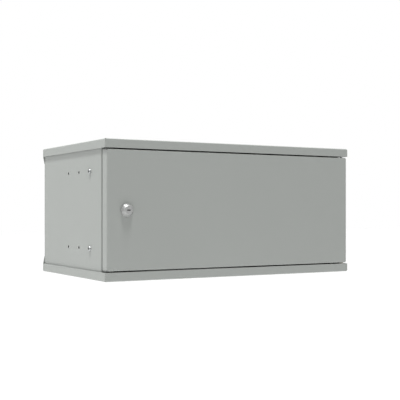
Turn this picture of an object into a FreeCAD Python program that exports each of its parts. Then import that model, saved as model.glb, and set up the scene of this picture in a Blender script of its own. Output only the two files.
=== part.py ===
import FreeCAD, Part
import os
import math
import Sketcher

# Wall mount 19-inch network cabinet, four rack units high, in millimetres.
# Frame: origin at the centre of the four wall fixings on the rear plane,
# +X to the right as seen from the front, +Y towards the wall, +Z up.

os.makedirs("parts", exist_ok=True)

doc = FreeCAD.newDocument("NetworkCabinet")
sheet = doc.addObject("Spreadsheet::Sheet", "Dimensions")


class Size:
    """A length or count together with the spreadsheet formula that gives it."""

    def __init__(self, value, text):
        self.value = value
        self.text = text

    def __add__(self, other):
        other = as_size(other)
        return Size(self.value + other.value, f"({self.text} + {other.text})")

    def __sub__(self, other):
        other = as_size(other)
        return Size(self.value - other.value, f"({self.text} - {other.text})")

    def __mul__(self, other):
        other = as_size(other)
        return Size(self.value * other.value, f"({self.text} * {other.text})")

    def __truediv__(self, other):
        other = as_size(other)
        return Size(self.value / other.value, f"({self.text} / {other.text})")

    def __neg__(self):
        return Size(-self.value, f"(-1 * {self.text})")

    def __rmul__(self, other):
        return as_size(other) * self

    def __radd__(self, other):
        return as_size(other) + self


def as_size(number):
    """A plain factor, as a Size whose formula is the number itself."""
    return number if isinstance(number, Size) else Size(float(number), repr(float(number)))


def dimension(alias, value, note):
    """Write one driving dimension in the sheet and give it back as a Size."""
    row = dimension.row = dimension.row + 1
    sheet.set(f"A{row}", note)
    sheet.set(f"B{row}", str(value))
    sheet.setAlias(f"B{row}", alias)
    return Size(float(value), f"Dimensions.{alias}")


dimension.row = 0

# Cabinet envelope and sheet metal
cabinet_width = dimension("cabinet_width", 600, "width over the covers")
cabinet_depth = dimension("cabinet_depth", 350, "depth, door front to rear plane")
cabinet_height = dimension("cabinet_height", 279, "height over the covers")
sheet_steel = dimension("sheet_steel", 1.2, "sheet thickness")
bend_radius = dimension("bend_radius", 1.0, "inner bend radius")
corner_gap = dimension("corner_gap", 0.6, "open seam where two flanges meet")
cut_margin = dimension("cut_margin", 1, "how far a cutting tool runs past a face")
flange_gap = dimension("flange_gap", 1.0, "gap between neighbouring flanges or hems")
seat_gap = dimension("seat_gap", 1.5, "edge of a flat panel to the wall beside it")

# Covers
lip_height = dimension("lip_height", 18, "front and side lips of the covers")
rear_flange_height = dimension("rear_flange_height", 34, "rear flange of the covers")
side_inset = dimension("side_inset", 3, "side panel inside the covers' sides")
vent_length = dimension("vent_length", 220, "ventilation slot length")
vent_width = dimension("vent_width", 4, "ventilation slot width")
vent_pitch = dimension("vent_pitch", 12, "spacing of the ventilation slots")
vent_count = dimension("vent_count", 5, "ventilation slots")
vent_setback = dimension("vent_setback", 115, "front slot from the front plane")

# Wall fixings
wall_hole_diameter = dimension("wall_hole_diameter", 9, "wall fixing hole")
wall_hole_span = dimension("wall_hole_span", 450, "wall fixings, side to side")
wall_hole_edge = dimension("wall_hole_edge", 20, "wall fixing from the cover's outer face")

# Side panels
front_flange = dimension("front_flange", 25, "front flange of a side panel")
side_flange = dimension("side_flange", 20, "top, bottom and rear flange of a side panel")
fixing_setback = dimension("fixing_setback", 83, "first rail fixing from the front plane")
fixing_pitch = dimension("fixing_pitch", 59, "step between the rail fixings")
fixing_count = dimension("fixing_count", 3, "rail fixings in a row")
fixing_height = dimension("fixing_height", 155.6, "upper to lower row of rail fixings")

# Door
door_depth = dimension("door_depth", 22, "depth of the door pan")
door_gap = dimension("door_gap", 2.5, "door to the covers' lips")
door_seam = dimension("door_seam", 4, "door to the side panels' front flange")
door_hem = dimension("door_hem", 12, "hem round the back of the door")

# Cable entries
entry_width = dimension("entry_width", 300, "cable entry, side to side")
entry_depth = dimension("entry_depth", 60, "cable entry, front to back")
entry_setback = dimension("entry_setback", 20, "cable entry from the rear plane")
entry_margin = dimension("entry_margin", 14, "blanking plate beyond the entry")

# Rack rails
rack_units = dimension("rack_units", 4, "rack units")
rack_unit_height = dimension("rack_unit_height", 44.45, "height of a rack unit")
rack_hole_step = dimension("rack_hole_step", 15.875, "outer to middle hole of a unit")
rack_hole_size = dimension("rack_hole_size", 9.5, "square cage nut hole")
rack_hole_span = dimension("rack_hole_span", 465.1, "rack holes, side to side")
rack_opening = dimension("rack_opening", 450.9, "clear width between the rails")
rail_sheet = dimension("rail_sheet", 2, "rail thickness")
rail_bend = dimension("rail_bend", 1.5, "inner bend radius of a rail")
rail_fold = dimension("rail_fold", 30, "flange of a rail on the side panel")
rail_lip = dimension("rail_lip", 15, "inner return of a rail")
rail_margin = dimension("rail_margin", 4, "rail beyond the rack units")

# Fasteners
bolt_diameter = dimension("bolt_diameter", 6, "M6 shank")
bolt_clearance = dimension("bolt_clearance", 0.5, "clearance hole over the shank")
bolt_head_diameter = dimension("bolt_head_diameter", 10.5, "button head")
bolt_head_height = dimension("bolt_head_height", 3.3, "button head height")
bolt_crown_diameter = dimension("bolt_crown_diameter", 6.3, "flat top of the button head")
bolt_swell_diameter = dimension("bolt_swell_diameter", 9.4, "button head where it curves in")
bolt_swell_height = dimension("bolt_swell_height", 2, "height at which it curves in")
bolt_socket = dimension("bolt_socket", 4, "hexagon socket across flats")
bolt_socket_depth = dimension("bolt_socket_depth", 2, "hexagon socket depth")
bolt_length = dimension("bolt_length", 12, "rail bolt under its head")
nut_flats = dimension("nut_flats", 10, "M6 nut across flats")
nut_height = dimension("nut_height", 5.2, "M6 nut height")
stud_length = dimension("stud_length", 12, "M6 weld stud")
stud_setback = dimension("stud_setback", 50, "cover studs from front and rear planes")
small_diameter = dimension("small_diameter", 4, "M4 shank")
small_flats = dimension("small_flats", 7, "M4 nut across flats")
small_nut_height = dimension("small_nut_height", 3.2, "M4 nut height")
small_stud_length = dimension("small_stud_length", 8, "M4 weld stud")
small_head_diameter = dimension("small_head_diameter", 7, "M4 pan head")
small_head_height = dimension("small_head_height", 2.4, "M4 pan head height")
small_crown_diameter = dimension("small_crown_diameter", 5.6, "flat top of the M4 pan head")
small_screw_length = dimension("small_screw_length", 8, "M4 screw under its head")
back_stud_span = dimension("back_stud_span", 140, "side studs of the back panel, up and down")
thread_clearance = dimension("thread_clearance", 0.05, "radial play of a nut on its stud")

# Hinges
hinge_inset = dimension("hinge_inset", 8, "hinge axis from the door's edge")
hinge_setback = dimension("hinge_setback", 9, "hinge axis behind the door's front")
hinge_sheet = dimension("hinge_sheet", 2, "hinge bracket thickness")
hinge_margin = dimension("hinge_margin", 6, "bracket beyond the hinge axis")
hinge_leg = dimension("hinge_leg", 12.5, "upright leg of a hinge bracket")
hinge_screw_span = dimension("hinge_screw_span", 10, "spacing of a bracket's two screws")
hinge_screw_rise = dimension("hinge_screw_rise", 7.5, "bracket screws from the bracket's tab")
pin_diameter = dimension("pin_diameter", 5, "hinge pin")
pin_head_diameter = dimension("pin_head_diameter", 8, "head of the bottom hinge pin")
pin_clearance = dimension("pin_clearance", 0.05, "radial play of a hinge pin")
pin_tip = dimension("pin_tip", 1.5, "hinge pin beyond the bracket's tab")
pin_reach = dimension("pin_reach", 6, "bottom pin inside the door")
washer_diameter = dimension("washer_diameter", 11, "nylon washer")
guide_drop = dimension("guide_drop", 25, "guide tab below the door's top")
guide_sheet = dimension("guide_sheet", 1.5, "guide bracket thickness")
guide_rise = dimension("guide_rise", 16, "welded leg of the guide")
handle_drop = dimension("handle_drop", 8, "pin below the guide before its handle")
handle_length = dimension("handle_length", 14, "straight end of the pin's handle")
handle_bend = dimension("handle_bend", 5, "bend of the pin's handle")
groove_depth = dimension("groove_depth", 0.5, "clip groove in the pin")
clip_thickness = dimension("clip_thickness", 1.0, "retaining clip")
clip_diameter = dimension("clip_diameter", 10, "retaining clip")
clip_mouth = dimension("clip_mouth", 3.6, "opening of the retaining clip")
spring_wire = dimension("spring_wire", 0.8, "spring wire")
spring_diameter = dimension("spring_diameter", 7, "spring, middle of the wire")
spring_turns = dimension("spring_turns", 5, "turns of the spring")

# Lock
lock_inset = dimension("lock_inset", 43, "lock from the door's free edge")
lock_rim_diameter = dimension("lock_rim_diameter", 26.5, "lock rim on the door")
lock_rim_height = dimension("lock_rim_height", 9, "lock rim in front of the door")
lock_rim_edge = dimension("lock_rim_edge", 1.5, "straight edge of the rim on the door")
lock_rim_round = dimension("lock_rim_round", 4, "rounding between that edge and the dome's slope")
lock_front_diameter = dimension("lock_front_diameter", 16.8, "flat front of the rim")
lock_front_round = dimension("lock_front_round", 0.8, "rounding of the flat front's edge")
lock_barrel_diameter = dimension("lock_barrel_diameter", 18.8, "threaded barrel")
lock_barrel_length = dimension("lock_barrel_length", 29.5, "barrel behind the door's front")
lock_flats = dimension("lock_flats", 16, "flats on the threaded barrel")
lock_hole_play = dimension("lock_hole_play", 0.1, "lock hole over the barrel, each side")
lock_nut_flats = dimension("lock_nut_flats", 23, "lock nut across flats")
lock_nut_height = dimension("lock_nut_height", 4, "lock nut")
plug_diameter = dimension("plug_diameter", 12, "key plug")
plug_face_diameter = dimension("plug_face_diameter", 15, "face of the key plug")
plug_face_depth = dimension("plug_face_depth", 2.5, "thickness of the plug's face")
plug_play = dimension("plug_play", 0.05, "radial play of the plug")
keyway_width = dimension("keyway_width", 2, "keyway")
keyway_length = dimension("keyway_length", 8, "keyway, side to side")
keyway_depth = dimension("keyway_depth", 14, "keyway depth")
cam_clearance = dimension("cam_clearance", 3.5, "cam behind the side panel's flange")
cam_thickness = dimension("cam_thickness", 2, "cam")
cam_width = dimension("cam_width", 15, "cam")
cam_reach = dimension("cam_reach", 24, "lock axis to the centre of the cam's round end")
cam_square = dimension("cam_square", 7, "square seat of the cam")
cam_screw_head = dimension("cam_screw_head", 10, "cam screw head")
cam_screw_height = dimension("cam_screw_height", 2.5, "cam screw head height")
cam_screw_crown = dimension("cam_screw_crown", 7.5, "flat top of the cam screw")
cam_screw_edge = dimension("cam_screw_edge", 1.5, "straight edge of the cam screw's head")
cam_screw_length = dimension("cam_screw_length", 8, "cam screw in the plug")

# Trim and earthing
bumper_diameter = dimension("bumper_diameter", 8, "rubber bumper")
bumper_crown = dimension("bumper_crown", 5.6, "flat top of a bumper")
bumper_edge = dimension("bumper_edge", 2.2, "straight side of a bumper")
bumper_span = dimension("bumper_span", 160, "upper to lower bumper")
bumper_gap = dimension("bumper_gap", 0.3, "bumper to the closed door")
earth_inset = dimension("earth_inset", 90, "earth studs from the middle plane to the side")
earth_rise = dimension("earth_rise", 34, "door's earth stud above the door's lower edge")
doc.recompute()

# Places worked out from the driving dimensions
outer_bend = sheet_steel + bend_radius
half_width = cabinet_width / 2
half_height = cabinet_height / 2
lip_edge = half_height - lip_height
plate_inner = half_height - sheet_steel
side_outer = half_width - side_inset
side_inner = side_outer - sheet_steel
front_plane = -cabinet_depth
door_back = front_plane + door_depth
flange_front = door_back + door_seam
flange_back = flange_front + sheet_steel
door_top = lip_edge - door_gap
door_face_inner = front_plane + sheet_steel
hinge_x = side_outer - hinge_inset
hinge_y = front_plane + hinge_setback
fixing_y = front_plane + fixing_setback
rail_front = fixing_y - rail_fold / 2
rail_half = rack_units * rack_unit_height / 2 + rail_margin
lock_x = -(side_outer - lock_inset)
clearance_hole = bolt_diameter + bolt_clearance
small_hole = small_diameter + bolt_clearance
stud_x = side_inner - side_flange / 2
wall_hole_z = half_height - wall_hole_edge
entry_stud_x = entry_width / 2 + entry_margin / 2
entry_stud_y = -(entry_setback + entry_depth / 2)
earth_x = half_width - earth_inset
earth_y = front_plane + stud_setback
zero = Size(0.0, "0")

AXES = {"XY": ("XY_Plane", 1.0), "XZ": ("XZ_Plane", -1.0), "YZ": ("YZ_Plane", 1.0)}


def bind(item, path, size):
    """Tie a property of a document object to its spreadsheet formula."""
    item.setExpression(path, as_size(size).text)


def new_body(name):
    body = doc.addObject("PartDesign::Body", name)
    body.Label = name
    return body


def new_sketch(body, name, plane, level, centre=None):
    """A sketch parallel to one of the body's origin planes, at a level along its normal axis."""
    role, direction = AXES[plane]
    face = [item for item in body.Origin.OriginFeatures if item.Role == role][0]
    sketch = body.newObject("Sketcher::SketchObject", name)
    sketch.AttachmentSupport = [(face, "")]
    sketch.MapMode = "FlatFace"
    bind(sketch, "AttachmentOffset.Base.z", as_size(level) * direction)
    if centre:
        bind(sketch, "AttachmentOffset.Base.x", centre[0])
        bind(sketch, "AttachmentOffset.Base.y", centre[1])
    return sketch


def vector(x, y):
    return FreeCAD.Vector(as_size(x).value, as_size(y).value, 0)


def pin_point(sketch, element, which, x, y):
    """Hold a point of the sketch at bound distances from the sketch's origin."""
    for kind, size in (("DistanceX", as_size(x)), ("DistanceY", as_size(y))):
        index = sketch.addConstraint(
            Sketcher.Constraint(kind, -1, 1, element, which, size.value))
        sketch.setExpression(f"Constraints[{index}]", size.text)


def polygon(sketch, points):
    """A closed outline through bound corners. A third value rounds a square corner."""
    count = len(points)
    corners = [(as_size(point[0]), as_size(point[1])) for point in points]
    radii = [as_size(point[2]) if len(point) > 2 else None for point in points]

    def beside(i, j):
        """The end, near corner i, of the straight side that leads to corner j."""
        if radii[i] is None:
            return corners[i]
        return tuple(near + radii[i] * sense(far.value - near.value)
                     for near, far in zip(corners[i], corners[j]))

    lines = []
    for i in range(count):
        after = (i + 1) % count
        start, end = beside(i, after), beside(after, i)
        lines.append(sketch.addGeometry(Part.LineSegment(vector(*start), vector(*end))))
        pin_point(sketch, lines[i], 1, *start)
        if radii[after]:
            pin_point(sketch, lines[i], 2, *end)
    for i in range(count):
        if radii[i]:
            bend_arc(sketch, lines[i - 1], lines[i], radii[i],
                     beside(i, i - 1), corners[i], beside(i, (i + 1) % count))
        else:
            sketch.addConstraint(Sketcher.Constraint("Coincident", lines[i - 1], 2, lines[i], 1))


def sense(number):
    """1, -1 or 0, for the direction of a square side along one axis."""
    return 0 if abs(number) < 1e-6 else math.copysign(1, number)


def bend_arc(sketch, line_in, line_out, radius, start, corner, end):
    """A quarter arc between two square sides, joined to their ends."""
    a, c, b = vector(*start), vector(*corner), vector(*end)
    centre = a + b - c
    clockwise = (c - a).cross(b - c).z < 0
    first, last = (b, a) if clockwise else (a, b)
    turn = math.atan2((first - centre).y, (first - centre).x)
    arc = sketch.addGeometry(Part.ArcOfCircle(
        Part.Circle(centre, FreeCAD.Vector(0, 0, 1), radius.value), turn, turn + math.pi / 2))
    from_end, to_end = (2, 1) if clockwise else (1, 2)
    sketch.addConstraint(Sketcher.Constraint("Coincident", line_in, 2, arc, from_end))
    sketch.addConstraint(Sketcher.Constraint("Coincident", line_out, 1, arc, to_end))
    index = sketch.addConstraint(Sketcher.Constraint("Radius", arc, radius.value))
    bind(sketch, f"Constraints[{index}]", radius)


def rectangle(sketch, x1, y1, x2, y2):
    polygon(sketch, [(x1, y1), (x2, y1), (x2, y2), (x1, y2)])


def circle(sketch, x, y, diameter):
    index = sketch.addGeometry(Part.Circle(
        vector(x, y), FreeCAD.Vector(0, 0, 1), as_size(diameter).value / 2))
    constraint = sketch.addConstraint(
        Sketcher.Constraint("Diameter", index, as_size(diameter).value))
    bind(sketch, f"Constraints[{constraint}]", diameter)
    pin_point(sketch, index, 3, x, y)


def slot(sketch, x, y, length, width):
    """A slot along the sketch's X, with two round ends."""
    left, right = x - (length - width) / 2, x + (length - width) / 2
    top, bottom = y + width / 2, y - width / 2
    first = sketch.GeometryCount
    up = FreeCAD.Vector(0, 0, 1)
    radius = (width / 2).value
    sketch.addGeometry([
        Part.LineSegment(vector(left, top), vector(right, top)),
        Part.ArcOfCircle(Part.Circle(vector(right, y), up, radius), -math.pi / 2, math.pi / 2),
        Part.LineSegment(vector(right, bottom), vector(left, bottom)),
        Part.ArcOfCircle(Part.Circle(vector(left, y), up, radius), math.pi / 2, 1.5 * math.pi)])
    for a, a_end, b, b_end in ((0, 2, 1, 2), (1, 1, 2, 1), (2, 2, 3, 2), (3, 1, 0, 1)):
        sketch.addConstraint(Sketcher.Constraint("Tangent", first + a, a_end, first + b, b_end))
    sketch.addConstraint(Sketcher.Constraint("Horizontal", first))
    pin_point(sketch, first + 1, 3, right, y)
    index = sketch.addConstraint(
        Sketcher.Constraint("DistanceX", -1, 1, first + 3, 3, left.value))
    bind(sketch, f"Constraints[{index}]", left)
    index = sketch.addConstraint(Sketcher.Constraint("Radius", first + 1, radius))
    bind(sketch, f"Constraints[{index}]", width / 2)


def hexagon(sketch, flats):
    """A hexagon about the sketch's origin, with its flats square to the sketch's Y."""
    corner = flats / math.sqrt(3)
    polygon(sketch, [(corner, zero), (corner / 2, flats / 2), (-corner / 2, flats / 2),
                     (-corner, zero), (-corner / 2, -flats / 2), (corner / 2, -flats / 2)])


def pad(body, sketch, length):
    """Pad a sketch towards the positive direction of the axis it faces."""
    feature = body.newObject("PartDesign::Pad", sketch.Name + "Pad")
    feature.Profile = sketch
    feature.Reversed = "XZ" in sketch.AttachmentSupport[0][0].Role
    bind(feature, "Length", length)
    body.Tip = feature
    return feature


def pocket(body, sketch, length):
    """Cut a sketch towards the positive direction of the axis it faces, and see that it cuts."""
    doc.recompute()
    before = body.Shape.Volume
    feature = body.newObject("PartDesign::Pocket", sketch.Name + "Pocket")
    feature.Profile = sketch
    feature.Reversed = "XZ" not in sketch.AttachmentSupport[0][0].Role
    bind(feature, "Length", length)
    body.Tip = feature
    doc.recompute()
    if body.Shape.Volume >= before:
        raise RuntimeError(f"{feature.Name} of {body.Label} cuts nothing")
    return feature


def turned(body, name, plane, centre, level, profile, axis):
    """Revolve a profile of local points about an axis through its own centre."""
    sketch = new_sketch(body, name, plane, level, centre)
    polygon(sketch, profile)
    feature = body.newObject("PartDesign::Revolution", name + "Turn")
    feature.Profile = sketch
    feature.ReferenceAxis = (sketch, [axis])
    feature.Angle = 360
    body.Tip = feature
    return feature


def mirrored(body, *planes):
    """Repeat the whole body across its origin planes, one after another."""
    for plane in planes:
        doc.recompute()
        face = [item for item in body.Origin.OriginFeatures if item.Role == plane][0]
        feature = body.newObject("PartDesign::Mirrored", f"{body.Name}{plane[:2]}")
        feature.MirrorPlane = (face, [""])
        feature.TransformMode = "Whole shape"
        body.Tip = feature


def repeated(body, feature, direction, span, count):
    """Repeat one feature along an origin axis over a whole span."""
    doc.recompute()
    line = [item for item in body.Origin.OriginFeatures if item.Role == direction][0]
    pattern = body.newObject("PartDesign::LinearPattern", f"{feature.Name}Row")
    pattern.Originals = [feature]
    pattern.Direction = (line, [""])
    bind(pattern, "Length", span)
    bind(pattern, "Occurrences", count)
    body.Tip = pattern
    return pattern


# --- Sheet-metal shell ---------------------------------------------------------

def cover(name, up):
    """Top (up = 1) or bottom (up = -1) cover: a tray with front and side lips and a rear flange."""
    outside, inside = up * half_height, up * plate_inner
    stub = up * (half_height - outer_bend - corner_gap)
    flat = up * (half_height - outer_bend)
    lip, rear = up * lip_edge, up * (half_height - rear_flange_height)
    body = new_body(name)
    section = new_sketch(body, name + "Depth", "YZ", -(half_width - outer_bend))
    polygon(section, [(front_plane, stub), (front_plane, outside, outer_bend),
                      (zero, outside, outer_bend), (zero, stub),
                      (-sheet_steel, stub), (-sheet_steel, inside, bend_radius),
                      (door_face_inner, inside, bend_radius), (door_face_inner, stub)])
    pad(body, section, cabinet_width - 2 * outer_bend)
    section = new_sketch(body, name + "Width", "XZ", door_face_inner + corner_gap)
    wall = half_width - sheet_steel
    polygon(section, [(-half_width, lip), (-half_width, outside, outer_bend),
                      (half_width, outside, outer_bend), (half_width, lip), (wall, lip),
                      (wall, inside, bend_radius), (-wall, inside, bend_radius), (-wall, lip)])
    pad(body, section, cabinet_depth - 2 * (sheet_steel + corner_gap))
    front = new_sketch(body, name + "FrontLip", "XZ", front_plane)
    rectangle(front, -half_width, lip, half_width, flat)
    pad(body, front, sheet_steel)
    back = new_sketch(body, name + "RearFlange", "XZ", -sheet_steel)
    polygon(back, [(-half_width, lip), (-half_width, flat), (half_width, flat), (half_width, lip),
                   (side_outer, rear), (-side_outer, rear)])
    for side in (-1, 1):
        circle(back, side * wall_hole_span / 2, up * wall_hole_z, wall_hole_diameter)
    pad(body, back, sheet_steel)
    low = plate_inner - cut_margin if up > 0 else -(half_height + cut_margin)
    tool = sheet_steel + 2 * cut_margin
    entry = new_sketch(body, name + "Entry", "XY", low)
    rectangle(entry, -entry_width / 2, -(entry_setback + entry_depth),
              entry_width / 2, -entry_setback)
    pocket(body, entry, tool)
    vents = new_sketch(body, name + "Vent", "XY", low)
    slot(vents, zero, front_plane + vent_setback, vent_length, vent_width)
    cut = pocket(body, vents, tool)
    repeated(body, cut, "Y_Axis", vent_pitch * (vent_count - 1), vent_count)
    return body


def side_panel(name, side):
    """Side wall with inward flanges at the front, top, bottom and rear."""
    outside, inside = side * side_outer, side * side_inner
    front_end = side * (side_outer - front_flange)
    flange_end = side * (side_outer - side_flange)
    rear_half = half_height - rear_flange_height - flange_gap
    folds = half_height - sheet_steel - outer_bend
    body = new_body(name)
    front = new_sketch(body, name + "Front", "XY", -folds)
    rear_edge = -(sheet_steel + corner_gap)
    polygon(front, [(front_end, flange_front), (outside, flange_front, outer_bend),
                    (outside, rear_edge), (inside, rear_edge),
                    (inside, flange_back, bend_radius), (front_end, flange_back)])
    pad(body, front, 2 * folds)
    rear = new_sketch(body, name + "Rear", "XY", -rear_half)
    overlap = rear_edge - outer_bend
    polygon(rear, [(flange_end, zero), (outside, zero, outer_bend), (outside, overlap),
                   (inside, overlap), (inside, -sheet_steel, bend_radius),
                   (flange_end, -sheet_steel)])
    pad(body, rear, 2 * rear_half)
    start = flange_front + outer_bend + corner_gap
    ends = new_sketch(body, name + "Ends", "XZ", start)
    flange_inner = plate_inner - sheet_steel
    polygon(ends, [(outside, -plate_inner, outer_bend), (outside, plate_inner, outer_bend),
                   (flange_end, plate_inner), (flange_end, flange_inner),
                   (inside, flange_inner, bend_radius), (inside, -flange_inner, bend_radius),
                   (flange_end, -flange_inner), (flange_end, -plate_inner)])
    pad(body, ends, -start - sheet_steel - outer_bend - seat_gap)
    low = side_inner - cut_margin if side > 0 else -(side_outer + cut_margin)
    holes = new_sketch(body, name + "Fixing", "YZ", low)
    for level in (-1, 1):
        circle(holes, fixing_y, level * fixing_height / 2, clearance_hole)
    cut = pocket(body, holes, sheet_steel + 2 * cut_margin)
    repeated(body, cut, "Y_Axis", fixing_pitch * (fixing_count - 1), fixing_count)
    studs = new_sketch(body, name + "StudHoles", "XY", -(plate_inner + cut_margin))
    for place in (front_plane + stud_setback, -stud_setback):
        circle(studs, side * stud_x, place, clearance_hole)
    pocket(body, studs, 2 * (plate_inner + cut_margin))
    if side > 0:
        screws = new_sketch(body, name + "HingeHoles", "XZ", flange_front - cut_margin)
        for x, z in hinge_screw_places(1) + hinge_screw_places(-1):
            circle(screws, x, z, small_hole)
        pocket(body, screws, sheet_steel + 2 * cut_margin)
    return body


def back_panel():
    """Flat rear sheet on the flanges, with the wall fixings and its stud holes through it."""
    body = new_body("back_panel")
    outline = new_sketch(body, "BackOutline", "XZ", -2 * sheet_steel)
    half_x, half_z = side_inner - seat_gap, plate_inner - seat_gap
    rectangle(outline, -half_x, -half_z, half_x, half_z)
    for side in (-1, 1):
        for up in (-1, 1):
            circle(outline, side * wall_hole_span / 2, up * wall_hole_z, wall_hole_diameter)
            circle(outline, side * stud_x, up * back_stud_span / 2, small_hole)
    pad(body, outline, sheet_steel)
    return body


def entry_plate(name, up):
    """Blanking plate inside a cable entry, held on two studs."""
    level = plate_inner - sheet_steel if up > 0 else -plate_inner
    body = new_body(name)
    outline = new_sketch(body, name + "Outline", "XY", level)
    half_x = entry_width / 2 + entry_margin
    rectangle(outline, -half_x, -(entry_setback + entry_depth + entry_margin),
              half_x, -(entry_setback - entry_margin))
    for side in (-1, 1):
        circle(outline, side * entry_stud_x, entry_stud_y, small_hole)
    pad(body, outline, sheet_steel)
    return body


# --- 19-inch rails ---------------------------------------------------------------

def rack_rail(name, side):
    """One folded rail: flange on the side panel, square-holed face, stiffening return."""
    wall, flange_inner = side * side_inner, side * (side_inner - rail_sheet)
    edge, lip = side * rack_opening / 2, side * (rack_opening / 2 + rail_sheet)
    face_back = rail_front + rail_sheet
    body = new_body(name)
    section = new_sketch(body, name + "Section", "XY", -rail_half)
    outer = rail_bend + rail_sheet
    polygon(section, [(wall, rail_front, outer), (wall, rail_front + rail_fold),
                      (flange_inner, rail_front + rail_fold), (flange_inner, face_back, rail_bend),
                      (lip, face_back, rail_bend), (lip, rail_front + rail_lip),
                      (edge, rail_front + rail_lip), (edge, rail_front, outer)])
    pad(body, section, 2 * rail_half)
    holes = new_sketch(body, name + "Unit", "XZ", rail_front - cut_margin)
    first = -(rack_units / 2 - 0.5) * rack_unit_height
    half = rack_hole_size / 2
    centre = side * rack_hole_span / 2
    for step in (-1, 0, 1):
        rectangle(holes, centre - half, first + step * rack_hole_step - half,
                  centre + half, first + step * rack_hole_step + half)
    cut = pocket(body, holes, rail_sheet + 2 * cut_margin)
    repeated(body, cut, "Z_Axis", rack_unit_height * (rack_units - 1), rack_units)
    low = side_inner - rail_sheet - cut_margin if side > 0 else -(side_inner + cut_margin)
    bolts = new_sketch(body, name + "BoltHoles", "YZ", low)
    for level in (-1, 1):
        circle(bolts, fixing_y, level * fixing_height / 2, clearance_hole)
    pocket(body, bolts, rail_sheet + 2 * cut_margin)
    return body


# --- Fasteners -------------------------------------------------------------------

def rail_bolts():
    """Button-head bolts with a hexagon socket, through each side panel into its rail."""
    body = new_body("rail_bolts")
    shank, level = bolt_diameter / 2, fixing_height / 2
    turned(body, "Bolt", "XY", (-side_outer, fixing_y), level,
           [(-bolt_head_height, zero), (-bolt_head_height, bolt_crown_diameter / 2),
            (-bolt_swell_height, bolt_swell_diameter / 2), (zero, bolt_head_diameter / 2),
            (zero, shank), (bolt_length, shank), (bolt_length, zero)], "H_Axis")
    socket = new_sketch(body, "BoltSocket", "YZ", -(side_outer + bolt_head_height + cut_margin),
                        (fixing_y, level))
    hexagon(socket, bolt_socket)
    pocket(body, socket, bolt_socket_depth + cut_margin)
    mirrored(body, "XY_Plane", "YZ_Plane")
    return body


def nut(body, name, plane, centre, level, inward, flats, height, bore):
    """A hexagon nut from its seat at a level, growing to the positive side unless inward is -1."""
    start = level if inward > 0 else level - height
    sketch = new_sketch(body, name, plane, start, centre)
    hexagon(sketch, flats)
    circle(sketch, zero, zero, bore)
    return pad(body, sketch, height)


def large_nut(body, name, plane, centre, level, inward):
    """An M6 nut seated at a level."""
    nut(body, name, plane, centre, level, inward, nut_flats, nut_height,
        bolt_diameter + 2 * thread_clearance)


def small_nut(body, name, plane, centre, level, inward):
    """An M4 nut seated at a level."""
    nut(body, name, plane, centre, level, inward, small_flats, small_nut_height,
        small_diameter + 2 * thread_clearance)


def rail_nuts():
    body = new_body("rail_nuts")
    large_nut(body, "RailNut", "YZ", (fixing_y, fixing_height / 2),
              -(side_inner - rail_sheet), 1)
    mirrored(body, "XY_Plane", "YZ_Plane")
    return body


def stud(body, name, plane, centre, level, length, diameter):
    """A plain weld stud grown from a sheet at a level, towards the positive side."""
    sketch = new_sketch(body, name, plane, level, centre)
    circle(sketch, zero, zero, diameter)
    return pad(body, sketch, length)


def cover_studs():
    """M6 studs welded under both covers, two to each side panel."""
    body = new_body("cover_studs")
    for number, place in enumerate((front_plane + stud_setback, -stud_setback)):
        stud(body, f"CoverStud{number}", "XY", (stud_x, place),
             plate_inner - stud_length, stud_length, bolt_diameter)
    mirrored(body, "XY_Plane", "YZ_Plane")
    return body


def cover_nuts():
    body = new_body("cover_nuts")
    for number, place in enumerate((front_plane + stud_setback, -stud_setback)):
        large_nut(body, f"CoverNut{number}", "XY", (stud_x, place),
                  plate_inner - sheet_steel, -1)
    mirrored(body, "XY_Plane", "YZ_Plane")
    return body


def back_panel_studs():
    """M4 studs welded to the side panels' rear flanges, pointing into the cabinet."""
    body = new_body("back_panel_studs")
    stud(body, "BackStud", "XZ", (stud_x, back_stud_span / 2),
         -(sheet_steel + small_stud_length), small_stud_length, small_diameter)
    mirrored(body, "XY_Plane", "YZ_Plane")
    return body


def back_panel_nuts():
    body = new_body("back_panel_nuts")
    small_nut(body, "BackNut", "XZ", (stud_x, back_stud_span / 2), -2 * sheet_steel, -1)
    mirrored(body, "XY_Plane", "YZ_Plane")
    return body


def entry_plate_studs():
    """M4 studs welded beside each cable entry, for the blanking plates."""
    body = new_body("entry_plate_studs")
    stud(body, "EntryStud", "XY", (entry_stud_x, entry_stud_y),
         plate_inner - small_stud_length, small_stud_length, small_diameter)
    mirrored(body, "XY_Plane", "YZ_Plane")
    return body


def entry_plate_nuts():
    body = new_body("entry_plate_nuts")
    small_nut(body, "EntryNut", "XY", (entry_stud_x, entry_stud_y), plate_inner - sheet_steel, -1)
    mirrored(body, "XY_Plane", "YZ_Plane")
    return body


# --- Hinges ------------------------------------------------------------------------

def hinge_bracket(name, up):
    """Angle bracket on the right front flange: a tab over the door's end, and a screwed leg."""
    near, far = up * lip_edge, up * (lip_edge + hinge_sheet)
    top = up * (lip_edge + hinge_leg)
    body = new_body(name)
    start = hinge_x - 2 * hinge_margin
    leg_front = flange_front - hinge_sheet
    section = new_sketch(body, name + "Section", "YZ", start)
    tip = hinge_y - hinge_margin
    polygon(section, [(tip, near), (flange_front, near, bend_radius + hinge_sheet),
                      (flange_front, top), (leg_front, top), (leg_front, far, bend_radius),
                      (tip, far)])
    pad(body, section, 3 * hinge_margin)
    level = lip_edge - cut_margin if up > 0 else -(lip_edge + hinge_sheet + cut_margin)
    hole = new_sketch(body, name + "PinHole", "XY", level)
    circle(hole, hinge_x, hinge_y, pin_diameter + 2 * pin_clearance)
    pocket(body, hole, hinge_sheet + 2 * cut_margin)
    screws = new_sketch(body, name + "ScrewHoles", "XZ", leg_front - cut_margin)
    for x, z in hinge_screw_places(up):
        circle(screws, x, z, small_hole)
    pocket(body, screws, hinge_sheet + 2 * cut_margin)
    return body


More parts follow.
